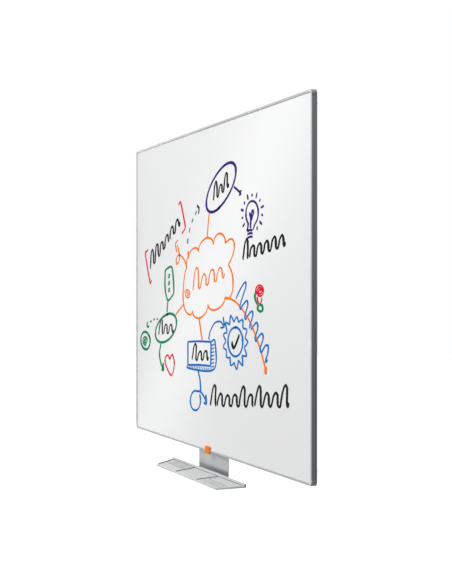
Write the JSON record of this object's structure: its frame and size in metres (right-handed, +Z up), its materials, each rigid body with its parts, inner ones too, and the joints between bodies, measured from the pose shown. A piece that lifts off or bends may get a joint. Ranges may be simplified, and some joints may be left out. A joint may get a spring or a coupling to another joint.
{
  "type": "wall whiteboard",
  "caption": "Widescreen magnetic whiteboard on concealed wall brackets, with a slim metal frame and a sliding pen tray below.",
  "frame": {"origin": "in the wall plane, behind the centre of the board", "axes": "+X to the right for someone facing the board, +Y into the wall, +Z up"},
  "size_m": [1.22, 0.0676, 0.7414],
  "materials": {
    "enamel": "gloss",
    "fibreboard": "matte",
    "galvanised": "satin",
    "anodised": "satin",
    "cap_plastic": "satin",
    "orange_plastic": "satin",
    "rubber": "matte",
    "zinc": "satin",
    "neck_metal": "satin",
    "tray_plastic": "satin"
  },
  "bodies": {
    "wall_brackets": {"wall_bracket_left": "zinc", "wall_bracket_right": "zinc"},
    "hangers": {"hanger_plate_left": "zinc", "hanger_plate_right": "zinc"},
    "board": {"backing_sheet": "galvanised", "core_board": "fibreboard", "corner_cap_bottom_left": "cap_plastic", "corner_cap_bottom_right": "cap_plastic", "corner_cap_top_left": "cap_plastic", "corner_cap_top_right": "cap_plastic", "corner_screw_bottom_left_across": "zinc", "corner_screw_bottom_left_down": "zinc", "corner_screw_bottom_right_across": "zinc", "corner_screw_bottom_right_down": "zinc", "corner_screw_top_left_across": "zinc", "corner_screw_top_left_down": "zinc", "corner_screw_top_right_across": "zinc", "corner_screw_top_right_down": "zinc", "orange_tab": "orange_plastic", "rail_bottom": "anodised", "rail_left": "anodised", "rail_right": "anodised", "rail_top": "anodised", "wall_bumper_left": "rubber", "wall_bumper_right": "rubber", "writing_sheet": "enamel"},
    "tray": {"neck_pad_left": "rubber", "neck_pad_right": "rubber", "pen_tray": "tray_plastic", "tray_neck": "neck_metal", "tray_screw_1": "zinc", "tray_screw_2": "zinc", "tray_screw_3": "zinc"}
  },
  "joints": [
    {"name": "board_lift", "type": "slide", "parent": "wall_brackets", "child": "hangers", "axis": [0, 0, 1], "range_m": [0, 0.012]},
    {"name": "board_shift", "type": "slide", "parent": "hangers", "child": "board", "axis": [1, 0, 0], "range_m": [-0.04, 0.04]},
    {"name": "tray_slide", "type": "slide", "parent": "board", "child": "tray", "axis": [1, 0, 0], "range_m": [-0.35, 0.35]}
  ]
}
